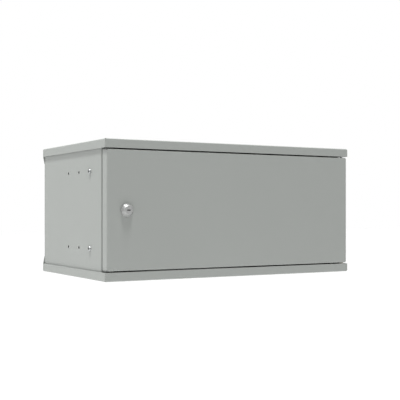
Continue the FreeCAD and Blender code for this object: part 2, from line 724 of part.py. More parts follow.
def hinge_screw_places(up):
    centre = hinge_x - hinge_margin / 2
    return [(centre + side * hinge_screw_span / 2, up * (lip_edge + hinge_screw_rise))
            for side in (-1, 1)]


def hinge_screws():
    """M4 screws from the front through each hinge bracket and the side panel's flange."""
    body = new_body("hinge_screws")
    for number, (x, z) in enumerate(hinge_screw_places(1)):
        seat = flange_front - hinge_sheet
        shank = small_diameter / 2
        turned(body, f"HingeScrew{number}", "XY", (x, seat), z,
               [(zero, -small_head_height), (small_crown_diameter / 2, -small_head_height),
                (small_head_diameter / 2, zero), (shank, zero), (shank, small_screw_length),
                (zero, small_screw_length)], "V_Axis")
    mirrored(body, "XY_Plane")
    return body


def hinge_nuts():
    body = new_body("hinge_nuts")
    for number, (x, z) in enumerate(hinge_screw_places(1)):
        small_nut(body, f"HingeNut{number}", "XZ", (x, z), flange_back, 1)
    mirrored(body, "XY_Plane")
    return body


def hinge_pin_bottom():
    """Fixed bottom pin: its head under the bracket, its rounded end inside the door."""
    radius, head = pin_diameter / 2, pin_head_diameter / 2
    seat = -(lip_edge + hinge_sheet)
    top = -door_top + pin_reach
    body = new_body("hinge_pin_bottom")
    turned(body, "PinBottom", "XZ", (hinge_x, zero), hinge_y,
           [(zero, seat - pin_tip), (head, seat - pin_tip), (head, seat), (radius, seat),
            (radius, top - groove_depth), (radius - groove_depth, top), (zero, top)], "V_Axis")
    return body


def hinge_washer():
    """Nylon washer that carries the door on the bottom bracket."""
    body = new_body("hinge_washer")
    ring = new_sketch(body, "Washer", "XY", -lip_edge, (hinge_x, hinge_y))
    circle(ring, zero, zero, washer_diameter)
    circle(ring, zero, zero, pin_diameter + 4 * pin_clearance)
    pad(body, ring, door_gap)
    return body


def pin_guide():
    """Guide of the spring pin: a leg welded inside the door's face, and a tab with the hole."""
    leg_back = door_face_inner + guide_sheet
    low = door_top - guide_drop
    body = new_body("pin_guide")
    start = hinge_x - hinge_margin
    section = new_sketch(body, "GuideSection", "YZ", start)
    polygon(section, [(door_face_inner, low, bend_radius + guide_sheet),
                      (hinge_y + hinge_margin, low), (hinge_y + hinge_margin, low + guide_sheet),
                      (leg_back, low + guide_sheet, bend_radius), (leg_back, low + guide_rise),
                      (door_face_inner, low + guide_rise)])
    pad(body, section, 2 * hinge_margin - corner_gap)
    hole = new_sketch(body, "GuideHole", "XY", low - cut_margin, (hinge_x, hinge_y))
    circle(hole, zero, zero, pin_diameter + 2 * pin_clearance)
    pocket(body, hole, guide_sheet + 2 * cut_margin)
    return body


def hinge_pin_top():
    """Spring pin: turned upper end with a clip groove, and a bent handle below its guide."""
    radius = pin_diameter / 2
    neck = radius - groove_depth
    inner_top = door_top - sheet_steel
    tip = lip_edge + hinge_sheet + pin_tip
    elbow = door_top - guide_drop - handle_drop
    body = new_body("hinge_pin_top")
    turned(body, "PinTop", "XZ", (hinge_x, zero), hinge_y,
           [(zero, elbow), (radius, elbow), (radius, inner_top - clip_thickness),
            (neck, inner_top - clip_thickness), (neck, inner_top), (radius, inner_top),
            (radius, tip - pin_tip), (radius - groove_depth, tip), (zero, tip)], "V_Axis")
    # The elbow turns about an axis beside the pin, and the handle runs inwards from it.
    bend = new_sketch(body, "PinElbow", "XY", elbow, (hinge_x - handle_bend, hinge_y))
    circle(bend, handle_bend, zero, pin_diameter)
    turn = body.newObject("PartDesign::Revolution", "PinElbowTurn")
    turn.Profile = bend
    turn.ReferenceAxis = (bend, ["V_Axis"])
    turn.Angle = 90
    body.Tip = turn
    arm = new_sketch(body, "PinHandle", "YZ", hinge_x - handle_bend - handle_length,
                     (hinge_y, elbow - handle_bend))
    circle(arm, zero, zero, pin_diameter)
    pad(body, arm, handle_length)
    return body


def hinge_pin_clip():
    """Retaining clip in the pin's groove, open on one side, resting under the door's top."""
    inner_top = door_top - sheet_steel
    body = new_body("hinge_pin_clip")
    ring = new_sketch(body, "Clip", "XY", inner_top - clip_thickness, (hinge_x, hinge_y))
    circle(ring, zero, zero, clip_diameter)
    circle(ring, zero, zero, pin_diameter - 2 * groove_depth + 2 * thread_clearance)
    pad(body, ring, clip_thickness)
    mouth = new_sketch(body, "ClipMouth", "XY", inner_top - clip_thickness - cut_margin,
                       (hinge_x, hinge_y))
    rectangle(mouth, -clip_diameter, -clip_mouth / 2, zero, clip_mouth / 2)
    pocket(body, mouth, clip_thickness + 2 * cut_margin)
    return body


def hinge_spring():
    """Compression spring between the guide's tab and the clip, of plain four-sided wire."""
    low = door_top - guide_drop + guide_sheet
    high = door_top - sheet_steel - clip_thickness
    body = new_body("hinge_spring")
    wire = new_sketch(body, "SpringWire", "XZ", hinge_y, (hinge_x, low + spring_wire / 2))
    near, far = (spring_diameter - spring_wire) / 2, (spring_diameter + spring_wire) / 2
    rise, middle = spring_wire / 2, spring_diameter / 2
    polygon(wire, [(near, zero), (middle, rise), (far, zero), (middle, -rise)])
    coil = body.newObject("PartDesign::AdditiveHelix", "SpringCoil")
    coil.Profile = wire
    coil.ReferenceAxis = (wire, ["V_Axis"])
    coil.Mode = "height-turns-angle"
    bind(coil, "Height", high - low - spring_wire)
    bind(coil, "Turns", spring_turns)
    body.Tip = coil
    return body


# --- Door ----------------------------------------------------------------------------

def door_panel():
    """Door pan: flat face, four folded returns, and a hem round the open back."""
    hem_inner = door_back - sheet_steel
    hem_x, hem_z = side_outer - door_hem, door_top - door_hem
    top_inner = door_top - sheet_steel
    body = new_body("door_panel")
    across = new_sketch(body, "DoorAcross", "XY", -(door_top - outer_bend))
    polygon(across, [(-side_outer, front_plane, outer_bend), (side_outer, front_plane, outer_bend),
                     (side_outer, door_back, outer_bend), (hem_x, door_back), (hem_x, hem_inner),
                     (side_inner, hem_inner, bend_radius), (side_inner, door_face_inner, bend_radius),
                     (-side_inner, door_face_inner, bend_radius),
                     (-side_inner, hem_inner, bend_radius), (-hem_x, hem_inner),
                     (-hem_x, door_back), (-side_outer, door_back, outer_bend)])
    pad(body, across, 2 * (door_top - outer_bend))
    upright = new_sketch(body, "DoorUpright", "YZ", -(side_outer - outer_bend))
    edge = door_back - outer_bend
    polygon(upright, [(front_plane, -door_top, outer_bend), (front_plane, door_top, outer_bend),
                      (edge, door_top), (edge, top_inner), (door_face_inner, top_inner, bend_radius),
                      (door_face_inner, -top_inner, bend_radius), (edge, -top_inner),
                      (edge, -door_top)])
    pad(body, upright, 2 * (side_outer - outer_bend))
    hem_reach = hem_x - flange_gap
    hems = new_sketch(body, "DoorHems", "YZ", -hem_reach)
    for up in (-1, 1):
        polygon(hems, [(edge - corner_gap, up * door_top), (door_back, up * door_top, outer_bend),
                       (door_back, up * hem_z), (hem_inner, up * hem_z),
                       (hem_inner, up * top_inner, bend_radius),
                       (edge - corner_gap, up * top_inner)])
    pad(body, hems, 2 * hem_reach)
    relief = front_plane + outer_bend + corner_gap
    for name, level in (("DoorTopEars", top_inner), ("DoorBottomEars", -door_top)):
        ears = new_sketch(body, name, "XY", level)
        rectangle(ears, -side_outer, relief, side_outer, edge)
        pad(body, ears, sheet_steel)
    for name, level in (("DoorRightEars", side_inner), ("DoorLeftEars", -side_outer)):
        ears = new_sketch(body, name, "YZ", level)
        rectangle(ears, relief, -(top_inner - corner_gap), edge, top_inner - corner_gap)
        pad(body, ears, sheet_steel)
    lock = new_sketch(body, "DoorLockHole", "XZ", front_plane - cut_margin, (lock_x, zero))
    flatted(lock, lock_barrel_diameter + 2 * lock_hole_play, lock_flats + 2 * lock_hole_play)
    pocket(body, lock, sheet_steel + 2 * cut_margin)
    pins = new_sketch(body, "DoorPinHoles", "XY", -(door_top + cut_margin), (hinge_x, hinge_y))
    circle(pins, zero, zero, pin_diameter + 2 * pin_clearance)
    pocket(body, pins, 2 * (door_top + cut_margin))
    return body


def flatted(sketch, diameter, flats):
    """A circle cut off by two flats, square to the sketch's Y, about the sketch's origin."""
    half, reach = flats / 2, as_size(diameter) / 2
    rise = math.asin(half.value / reach.value)
    centre, up = FreeCAD.Vector(0, 0, 0), FreeCAD.Vector(0, 0, 1)
    round_line = Part.Circle(centre, up, reach.value)
    run = reach.value * math.cos(rise)
    first = sketch.GeometryCount
    sketch.addGeometry([
        Part.ArcOfCircle(round_line, -rise, rise),
        Part.LineSegment(FreeCAD.Vector(run, half.value, 0), FreeCAD.Vector(-run, half.value, 0)),
        Part.ArcOfCircle(round_line, math.pi - rise, math.pi + rise),
        Part.LineSegment(FreeCAD.Vector(-run, -half.value, 0), FreeCAD.Vector(run, -half.value, 0))])
    for a, a_end, b, b_end in ((0, 2, 1, 1), (1, 2, 2, 1), (2, 2, 3, 1), (3, 2, 0, 1)):
        sketch.addConstraint(Sketcher.Constraint("Coincident", first + a, a_end, first + b, b_end))
    for arc in (first, first + 2):
        sketch.addConstraint(Sketcher.Constraint("Coincident", arc, 3, -1, 1))
        index = sketch.addConstraint(Sketcher.Constraint("Radius", arc, reach.value))
        bind(sketch, f"Constraints[{index}]", reach)
    for line, level in ((first + 1, half), (first + 3, -half)):
        sketch.addConstraint(Sketcher.Constraint("Horizontal", line))
        index = sketch.addConstraint(
            Sketcher.Constraint("DistanceY", -1, 1, line, 1, level.value))
        bind(sketch, f"Constraints[{index}]", level)


# --- Lock ------------------------------------------------------------------------------

def lock_housing():
    """Cam lock body: domed rim in front of the door, flatted barrel through it, bored for the plug."""
    rim, front = lock_rim_diameter / 2, front_plane - lock_rim_height
    bore = plug_diameter / 2 + plug_play
    face = plug_face_diameter / 2 + plug_play
    shoulder = front + plug_face_depth
    end = front_plane + lock_barrel_length
    body = new_body("lock_housing")
    turned(body, "LockBody", "XY", (lock_x, zero), zero,
           [(face, front), (lock_front_diameter / 2, front), (rim, front_plane - lock_rim_edge),
            (rim, front_plane), (lock_barrel_diameter / 2, front_plane),
            (lock_barrel_diameter / 2, end), (bore, end), (bore, shoulder), (face, shoulder)],
           "V_Axis")
    round_edge(body, "LockRimRound", rim, front_plane - lock_rim_edge, lock_rim_round)
    round_edge(body, "LockFrontRound", lock_front_diameter / 2, front, lock_front_round)
    for name, up in (("LockUpperFlat", 1), ("LockLowerFlat", -1)):
        flat = new_sketch(body, name, "XZ", front_plane, (lock_x, zero))
        rectangle(flat, -lock_barrel_diameter, up * lock_flats / 2,
                  lock_barrel_diameter, up * lock_barrel_diameter)
        pocket(body, flat, lock_barrel_length + cut_margin)
    return body


def round_edge(body, name, edge_radius, level, radius):
    """Fillet the circular edge of a given radius that lies at a level along Y."""
    doc.recompute()
    base = body.Tip
    names = [f"Edge{number}" for number, edge in enumerate(base.Shape.Edges, 1)
             if hasattr(edge.Curve, "Radius")
             and abs(edge.Curve.Radius - edge_radius.value) < 1e-6
             and abs(edge.Curve.Center.y - level.value) < 1e-6]
    fillet = body.newObject("PartDesign::Fillet", name)
    fillet.Base = (base, names)
    bind(fillet, "Radius", radius)
    body.Tip = fillet


def lock_nut():
    """Thin hexagon nut that clamps the lock against the door's inner face."""
    body = new_body("lock_nut")
    nut(body, "LockNut", "XZ", (lock_x, zero), door_face_inner, 1, lock_nut_flats,
        lock_nut_height, lock_barrel_diameter + 2 * thread_clearance)
    return body


def lock_plug():
    """Key plug: wide face with a keyway, long shank, square seat for the cam, tapped end."""
    front = front_plane - lock_rim_height
    radius, face = plug_diameter / 2, plug_face_diameter / 2
    seat = flange_back + cam_clearance
    body = new_body("lock_plug")
    turned(body, "Plug", "XY", (lock_x, zero), zero,
           [(zero, front), (face, front), (face, front + plug_face_depth - plug_play),
            (radius, front + plug_face_depth - plug_play), (radius, seat), (zero, seat)], "V_Axis")
    square = new_sketch(body, "PlugSquare", "XZ", seat, (lock_x, zero))
    rectangle(square, -cam_square / 2, -cam_square / 2, cam_square / 2, cam_square / 2)
    pad(body, square, cam_thickness - plug_play)
    keyway = new_sketch(body, "Keyway", "XZ", front - cut_margin, (lock_x, zero))
    rectangle(keyway, -keyway_length / 2, -keyway_width / 2, keyway_length / 2, keyway_width / 2)
    pocket(body, keyway, keyway_depth + cut_margin)
    tapped = new_sketch(body, "PlugTapping", "XZ", seat + cam_thickness - cam_screw_length,
                        (lock_x, zero))
    circle(tapped, zero, zero, small_diameter + 2 * thread_clearance)
    pocket(body, tapped, cam_screw_length + cut_margin)
    return body


def lock_cam():
    """Flat cam on the plug's square, hanging down when unlocked."""
    seat = flange_back + cam_clearance
    body = new_body("lock_cam")
    outline = new_sketch(body, "CamOutline", "XZ", seat, (lock_x, zero))
    upright_slot(outline, zero, -cam_reach, cam_width)
    hole = cam_square / 2 + plug_play
    rectangle(outline, -hole, -hole, hole, hole)
    pad(body, outline, cam_thickness)
    return body


def upright_slot(sketch, high, low, width):
    """A slot along the sketch's Y between two centres on its Y axis."""
    up, half = FreeCAD.Vector(0, 0, 1), as_size(width) / 2
    first = sketch.GeometryCount
    sketch.addGeometry([
        Part.ArcOfCircle(Part.Circle(vector(zero, high), up, half.value), 0, math.pi),
        Part.LineSegment(vector(-half, high), vector(-half, low)),
        Part.ArcOfCircle(Part.Circle(vector(zero, low), up, half.value), math.pi, 2 * math.pi),
        Part.LineSegment(vector(half, low), vector(half, high))])
    for a, a_end, b, b_end in ((0, 2, 1, 1), (1, 2, 2, 1), (2, 2, 3, 1), (3, 2, 0, 1)):
        sketch.addConstraint(Sketcher.Constraint("Tangent", first + a, a_end, first + b, b_end))
    sketch.addConstraint(Sketcher.Constraint("Vertical", first + 1))
    pin_point(sketch, first, 3, zero, high)
    index = sketch.addConstraint(
        Sketcher.Constraint("DistanceY", -1, 1, first + 2, 3, as_size(low).value))
    bind(sketch, f"Constraints[{index}]", low)
    index = sketch.addConstraint(Sketcher.Constraint("Radius", first, half.value))
    bind(sketch, f"Constraints[{index}]", half)


def cam_screw():
    """Screw and its wide head that hold the cam on the plug."""
    seat = flange_back + cam_clearance + cam_thickness
    head, shank = cam_screw_head / 2, small_diameter / 2
    body = new_body("cam_screw")
    turned(body, "CamScrew", "XY", (lock_x, seat), zero,
           [(zero, -(cam_screw_length - plug_play)), (shank, -(cam_screw_length - plug_play)),
            (shank, zero), (head, zero), (head, cam_screw_edge),
            (cam_screw_crown / 2, cam_screw_height), (zero, cam_screw_height)], "V_Axis")
    return body


# --- Trim and earthing -------------------------------------------------------------------

def door_bumpers():
    """Rubber bumpers on the left front flange, short of the closed door."""
    body = new_body("door_bumpers")
    height = door_seam - bumper_gap
    radius = bumper_diameter / 2
    turned(body, "Bumper", "XY", (-hinge_x, flange_front), bumper_span / 2,
           [(zero, -height), (bumper_crown / 2, -height), (radius, -bumper_edge), (radius, zero),
            (zero, zero)], "V_Axis")
    mirrored(body, "XY_Plane")
    return body


def earth_stud():
    body = new_body("earth_stud")
    stud(body, "EarthStud", "XY", (earth_x, earth_y), -plate_inner, stud_length, bolt_diameter)
    return body


def earth_nut():
    body = new_body("earth_nut")
    large_nut(body, "EarthNut", "XY", (earth_x, earth_y), -plate_inner, 1)
    return body


def door_earth_stud():
    body = new_body("door_earth_stud")
    stud(body, "DoorEarthStud", "XZ", (earth_x, earth_rise - door_top), door_face_inner,
         stud_length, bolt_diameter)
    return body


def door_earth_nut():
    body = new_body("door_earth_nut")
    large_nut(body, "DoorEarthNut", "XZ", (earth_x, earth_rise - door_top), door_face_inner, 1)
    return body


parts = [
    cover("top_cover", 1), cover("bottom_cover", -1),
    side_panel("side_panel_left", -1), side_panel("side_panel_right", 1),
    back_panel(), back_panel_studs(), back_panel_nuts(), cover_studs(), cover_nuts(),
    rack_rail("rack_rail_left", -1), rack_rail("rack_rail_right", 1), rail_bolts(), rail_nuts(),
    entry_plate("entry_plate_top", 1), entry_plate("entry_plate_bottom", -1),
    entry_plate_studs(), entry_plate_nuts(),
    hinge_bracket("hinge_bracket_top", 1), hinge_bracket("hinge_bracket_bottom", -1),
    hinge_screws(), hinge_nuts(), hinge_pin_bottom(), hinge_washer(),
    door_bumpers(), earth_stud(), earth_nut(),
    door_panel(), pin_guide(), door_earth_stud(), door_earth_nut(), lock_housing(), lock_nut(),
    lock_plug(), lock_cam(), cam_screw(), hinge_pin_top(), hinge_pin_clip(), hinge_spring()]

doc.recompute()
failed = [item.Label for item in doc.Objects if {"Invalid", "Error"} & set(item.State)]
if failed:
    raise RuntimeError("Failed objects: " + ", ".join(failed))
for body in parts:
    if body.Shape.isNull() or not body.Shape.isValid() or not body.Shape.Solids:
        raise RuntimeError(f"{body.Label} has no valid solid")
for body in parts:
    body.Shape.exportStep(f"parts/{body.Label}.step")
    box = body.Shape.BoundBox
    print(f"{body.Label:22s} {len(body.Shape.Solids):2d} solids {body.Shape.Volume:10.0f} mm3  "
          f"x {box.XMin:.1f} {box.XMax:.1f}  y {box.YMin:.1f} {box.YMax:.1f}  "
          f"z {box.ZMin:.1f} {box.ZMax:.1f}")
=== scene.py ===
import math
import bmesh
import bpy
import numpy as np
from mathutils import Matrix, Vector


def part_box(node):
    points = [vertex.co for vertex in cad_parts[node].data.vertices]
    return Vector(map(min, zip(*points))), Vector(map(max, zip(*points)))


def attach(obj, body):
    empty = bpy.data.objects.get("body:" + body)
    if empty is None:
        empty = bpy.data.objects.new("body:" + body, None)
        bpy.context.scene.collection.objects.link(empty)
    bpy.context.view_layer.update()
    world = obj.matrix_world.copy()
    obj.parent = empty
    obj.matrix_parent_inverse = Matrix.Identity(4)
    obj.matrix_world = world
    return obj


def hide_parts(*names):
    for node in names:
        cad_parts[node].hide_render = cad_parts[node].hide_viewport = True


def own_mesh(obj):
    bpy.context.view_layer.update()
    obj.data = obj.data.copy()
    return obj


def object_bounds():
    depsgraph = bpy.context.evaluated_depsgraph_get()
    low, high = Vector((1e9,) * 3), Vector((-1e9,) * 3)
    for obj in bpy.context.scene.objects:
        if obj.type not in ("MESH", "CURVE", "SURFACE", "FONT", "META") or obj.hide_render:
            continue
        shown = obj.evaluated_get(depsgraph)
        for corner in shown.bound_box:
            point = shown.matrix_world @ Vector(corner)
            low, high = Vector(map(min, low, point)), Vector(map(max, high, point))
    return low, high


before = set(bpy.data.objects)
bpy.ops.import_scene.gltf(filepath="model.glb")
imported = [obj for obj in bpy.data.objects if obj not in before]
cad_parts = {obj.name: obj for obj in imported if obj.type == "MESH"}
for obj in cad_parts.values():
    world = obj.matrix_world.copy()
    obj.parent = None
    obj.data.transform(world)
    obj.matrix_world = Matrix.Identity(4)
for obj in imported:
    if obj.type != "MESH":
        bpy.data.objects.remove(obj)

cad_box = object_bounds()


# --- Camera, floor and studio light ---------------------------------------------
# The cabinet hangs at eye height in a plain white studio, seen level from its front left.
# Two strip lights hang steeply above it, one ahead of it and one on its left, in a white room
# whose ceiling darkens towards the front.

scene = bpy.context.scene
scene.view_settings.view_transform = "Standard"

EYE = (-0.9675, -1.8644, 0.0)
LEVEL = math.radians(90)
EYE_YAW = math.radians(-30.126)
SENSOR_MM = 36.0
LENS_MM = 76.72
HORIZON_SHIFT = 0.0253

camera_data = bpy.data.cameras.new("camera")
camera_data.sensor_width = SENSOR_MM
camera_data.lens = LENS_MM
camera_data.shift_y = HORIZON_SHIFT
camera = bpy.data.objects.new("camera", camera_data)
camera.location = EYE
camera.rotation_euler = (LEVEL, 0, EYE_YAW)
scene.collection.objects.link(camera)
scene.camera = camera


def linear(hex_colour):
    """An sRGB hex colour as the linear red, green, blue, alpha that shaders take."""
    values = [int(hex_colour[i:i + 2], 16) / 255 for i in (1, 3, 5)]
    return [v / 12.92 if v <= 0.04045 else ((v + 0.055) / 1.055) ** 2.4 for v in values] + [1.0]


def add(tree, kind, settings=(), links=()):
    """Adds one node: settings are (socket or property, value), links are (socket, from socket)."""
    node = tree.nodes.new(kind)
    for name, value in settings:
        if isinstance(name, str) and hasattr(node, name):
            setattr(node, name, value)
        else:
            node.inputs[name].default_value = value
    for name, source in links:
        tree.links.new(source, node.inputs[name])
    return node


def new_material(name):
    """An empty node material with its Principled shader and output joined."""
    material = bpy.data.materials.new(name)
    material.use_nodes = True
    tree = material.node_tree
    tree.nodes.clear()
    shader = add(tree, "ShaderNodeBsdfPrincipled")
    add(tree, "ShaderNodeOutputMaterial", links=[("Surface", shader.outputs["BSDF"])])
    return material, tree, shader


def area_light(name, place, target, width, length, watts):
    """A strip light at a place, aimed at a target, its length in the aim's upright plane."""
    data = bpy.data.lights.new(name, "AREA")
    data.shape = "RECTANGLE"
    data.size = width
    data.size_y = length
    data.energy = watts
    lamp = bpy.data.objects.new(name, data)
    lamp.location = place
    aim = np.array(target) - np.array(place)
    tilt = math.atan2(math.hypot(aim[0], aim[1]), -aim[2])
    heading = math.atan2(aim[1], aim[0]) - math.pi / 2
    lamp.rotation_euler = (tilt, 0, heading)
    scene.collection.objects.link(lamp)


LIGHT_AIM = (0.0, -0.175, 0.0)
area_light("key_front", (-0.20, -0.90, 2.6), LIGHT_AIM, width=0.3, length=0.6, watts=78)
area_light("key_side", (-0.90, -0.24, 2.6), LIGHT_AIM, width=0.15, length=0.3, watts=144)

# The room is evenly white, and its ceiling falls off softly in front of the cabinet. Both
# ceiling heights are sines of a direction's elevation.
FRONT_DIMMING = 1.0
CEILING_FROM, CEILING_TO = 0.15, 0.4
world = bpy.data.worlds.new("studio")
world.use_nodes = True
room = world.node_tree
direction = add(room, "ShaderNodeTexCoord").outputs["Generated"]
split = add(room, "ShaderNodeSeparateXYZ", links=[("Vector", direction)])
ahead = add(room, "ShaderNodeMapRange",
            [("From Min", 0.0), ("From Max", -1.0), ("To Max", FRONT_DIMMING)],
            [("Value", split.outputs["Y"])])
above = add(room, "ShaderNodeMapRange",
            [("From Min", CEILING_FROM), ("From Max", CEILING_TO)],
            [("Value", split.outputs["Z"])])
shade = add(room, "ShaderNodeMath", [("operation", "MULTIPLY")],
            [(0, ahead.outputs["Result"]), (1, above.outputs["Result"])])
white = add(room, "ShaderNodeMath", [("operation", "SUBTRACT"), (0, 1.0)],
            [(1, shade.outputs["Value"])])
room.nodes["Background"].inputs["Color"].default_value = (1, 1, 1, 1)
room.links.new(white.outputs["Value"], room.nodes["Background"].inputs["Strength"])
scene.world = world

FLOOR_LEVEL = -0.9
FLOOR_REACH = 30.0
FLOOR_ROUGHNESS = 0.9
FLOOR_GLOW = 0.2
FLOOR_CORNERS = ((-1, -1), (1, -1), (1, 1), (-1, 1))
floor_mesh = bpy.data.meshes.new("floor")
floor_mesh.from_pydata(
    [(x * FLOOR_REACH, y * FLOOR_REACH, FLOOR_LEVEL) for x, y in FLOOR_CORNERS],
    [], [(0, 1, 2, 3)])
floor = bpy.data.objects.new("floor", floor_mesh)
scene.collection.objects.link(floor)
material, tree, shader = new_material("pale_studio_floor")
shader.inputs["Base Color"].default_value = linear("#FFFFFF")
shader.inputs["Roughness"].default_value = FLOOR_ROUGHNESS
shader.inputs["Emission Color"].default_value = linear("#FFFFFF")
shader.inputs["Emission Strength"].default_value = FLOOR_GLOW
floor_mesh.materials.append(material)


# --- Folded sheet-steel shell ------------------------------------------------------
# Covers, side panels, back panel, blanking plates and door are folded 1.2 mm sheet steel,
# powder coated light grey: an even satin coat with the faint orange peel of stoved powder.

def dress(material, *nodes):
    """Gives CAD nodes one material in place of their plain one."""
    for node in nodes:
        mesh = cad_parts[node].data
        mesh.materials.clear()
        mesh.materials.append(material)


def powder_coat(name, colour):
    """Stoved polyester powder: satin, with orange peel and a very faint cloudiness."""
    peel_width, peel_depth, peel_strength = 0.0016, 0.0002, 0.12
    cloud_width, cloud_share = 0.16, 0.97
    smooth, rough = 0.46, 0.54
    material, tree, shader = new_material(name)
    place = add(tree, "ShaderNodeTexCoord").outputs["Object"]
    peel = add(tree, "ShaderNodeTexNoise", [("Scale", 1 / peel_width), ("Detail", 2.0)],
               [("Vector", place)])
    cloud = add(tree, "ShaderNodeTexNoise", [("Scale", 1 / cloud_width), ("Detail", 1.0)],
                [("Vector", place)])
    clear = linear(colour)
    clouded = [c * cloud_share for c in clear[:3]] + [1.0]
    shade = add(tree, "ShaderNodeMixRGB", [("Color1", clear), ("Color2", clouded)],
                [("Fac", cloud.outputs["Fac"])])
    gloss = add(tree, "ShaderNodeMapRange", [("To Min", smooth), ("To Max", rough)],
                [("Value", cloud.outputs["Fac"])])
    bump = add(tree, "ShaderNodeBump", [("Strength", peel_strength), ("Distance", peel_depth)],
               [("Height", peel.outputs["Fac"])])
    tree.links.new(shade.outputs["Color"], shader.inputs["Base Color"])
    tree.links.new(gloss.outputs["Result"], shader.inputs["Roughness"])
    tree.links.new(bump.outputs["Normal"], shader.inputs["Normal"])
    return material


light_grey_powder = powder_coat("light_grey_powder_coat", "#808380")
dress(light_grey_powder, "top_cover", "bottom_cover", "side_panel_left", "side_panel_right",
      "back_panel", "entry_plate_top", "entry_plate_bottom", "door_panel")


# --- Rack rails, hinge brackets and bare steel parts ----------------------------------
# The rails, brackets, pin guide, cam and hinge pins are pressed or turned steel, bright zinc
# plated and left bare: a soft grey metal with the faint mottle that the bath leaves.

def zinc_plate(name, colour, roughness):
    """Bright zinc electroplate: metallic, satin, with a mottle a few millimetres wide."""
    mottle_width, mottle_swing = 0.006, 0.08
    material, tree, shader = new_material(name)
    place = add(tree, "ShaderNodeTexCoord").outputs["Object"]
    mottle = add(tree, "ShaderNodeTexNoise", [("Scale", 1 / mottle_width), ("Detail", 3.0)],
                 [("Vector", place)])
    gloss = add(tree, "ShaderNodeMapRange",
                [("To Min", roughness - mottle_swing), ("To Max", roughness + mottle_swing)],
                [("Value", mottle.outputs["Fac"])])
    tree.links.new(gloss.outputs["Result"], shader.inputs["Roughness"])
    shader.inputs["Base Color"].default_value = linear(colour)
    shader.inputs["Metallic"].default_value = 1.0
    return material


bright_zinc = zinc_plate("bright_zinc_plate", "#929494", 0.46)
dress(bright_zinc, "rack_rail_left", "rack_rail_right", "hinge_bracket_top",
      "hinge_bracket_bottom", "pin_guide", "hinge_pin_top", "hinge_pin_bottom", "lock_cam",
      "lock_nut")


# --- Threaded studs -----------------------------------------------------------------------
# Zinc-plated M4 and M6 studs are resistance welded to the sheets, threaded along their whole
# length, and hold the back panel, the blanking plates, the side panels and the earth wires.

# Pitch by diameter in millimetres, and a thread's depth as a share of its pitch.
COARSE_PITCH = {4: 0.0007, 6: 0.001}
THREAD_DEPTH = 0.6
CABINET_MIDDLE = (np.array(cad_box[0]) + np.array(cad_box[1])) / 2


def islands(node):
    """Boxes (low, high) of a CAD node's separate solids: labels spread over shared corners
    until none changes, and each label's corners give one box."""
    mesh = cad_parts[node].data
    corners = np.empty(len(mesh.vertices) * 3)
    mesh.vertices.foreach_get("co", corners)
    corners = corners.reshape(-1, 3)
    faces = np.empty(len(mesh.polygons) * 3, dtype=int)
    mesh.polygons.foreach_get("vertices", faces)
    _, same = np.unique(np.round(corners / 1e-6).astype(np.int64), axis=0, return_inverse=True)
    faces = same.ravel()[faces.reshape(-1, 3)]
    label = np.arange(faces.max() + 1)
    while True:
        spread = label.copy()
        lowest = label[faces].min(axis=1)
        for column in range(3):
            np.minimum.at(spread, faces[:, column], lowest)
        if np.array_equal(spread, label):
            break
        label = spread
    owner = label[same.ravel()]
    return [(corners[owner == one].min(axis=0), corners[owner == one].max(axis=0))
            for one in np.unique(owner)]


def placed(grid, origin, axis):
    """Turns a local grid so that its z runs along a row axis (0, 1 or 2, with a sign)
    and moves it to its origin."""
    index, sense = axis
    out = np.empty_like(grid)
    out[..., index] = grid[..., 2] * sense
    out[..., (index + 1) % 3] = grid[..., 0]
    out[..., (index + 2) % 3] = grid[..., 1] * sense
    return out + np.asarray(origin)


def woven(name, grids, material, body, replaced, closed_rows=False, crease=32):
    """One object from grids of points (rows, columns, xyz): each quad joins four neighbours,
    columns close on themselves, and equal points are merged so that poles and seams close."""
    points, faces, start = [], [], 0
    for grid in grids:
        rows, columns = grid.shape[:2]
        number = start + np.arange(rows * columns).reshape(rows, columns)
        below = number if closed_rows else number[:-1]
        above = np.roll(number, -1, axis=0) if closed_rows else number[1:]
        faces.append(np.stack([below, np.roll(below, -1, axis=1), np.roll(above, -1, axis=1),
                               above], axis=-1).reshape(-1, 4))
        points.append(grid.reshape(-1, 3))
        start += rows * columns
    mesh = bpy.data.meshes.new(name)
    mesh.from_pydata(np.concatenate(points), [], np.concatenate(faces))
    weld = bmesh.new()
    weld.from_mesh(mesh)
    bmesh.ops.remove_doubles(weld, verts=weld.verts, dist=1e-7)
    bmesh.ops.recalc_face_normals(weld, faces=weld.faces)
    weld.to_mesh(mesh)
    weld.free()
    mesh.shade_smooth()
    mesh.set_sharp_from_angle(angle=math.radians(crease))
    mesh.materials.append(material)
    piece = bpy.data.objects.new(name, mesh)
    scene.collection.objects.link(piece)
    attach(piece, body)
    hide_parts(*replaced)
    return piece


def thread(radius, pitch, low, high):
    """A coarse thread: the radius falls and rises by a triangle wave of (height / pitch -
    angle / turn), 0.6 of the pitch deep, and fades out at its upper end."""
    around, rows_per_pitch = 24, 8
    turn = np.linspace(0, 2 * np.pi, around, endpoint=False)
    height = np.linspace(low, high, 2 + rows_per_pitch * round((high - low) / pitch))
    height, turn = np.meshgrid(height, turn, indexing="ij")
    wave = np.abs(2 * ((height / pitch - turn / (2 * np.pi)) % 1) - 1)
    fade = np.clip((high - height) / pitch, 0.0, 1.0)
    reach = radius - THREAD_DEPTH * pitch * (1 - fade * wave)
    return np.stack([reach * np.cos(turn), reach * np.sin(turn), height], axis=-1)


def capped(grid):
    """Closes a turned grid with a point on its axis at each end."""
    ends = []
    for row in (grid[:1], grid[-1:]):
        flat = np.zeros_like(row)
        flat[..., 2] = row[..., 2]
        ends.append(flat)
    return np.concatenate([ends[0], grid, ends[1]])


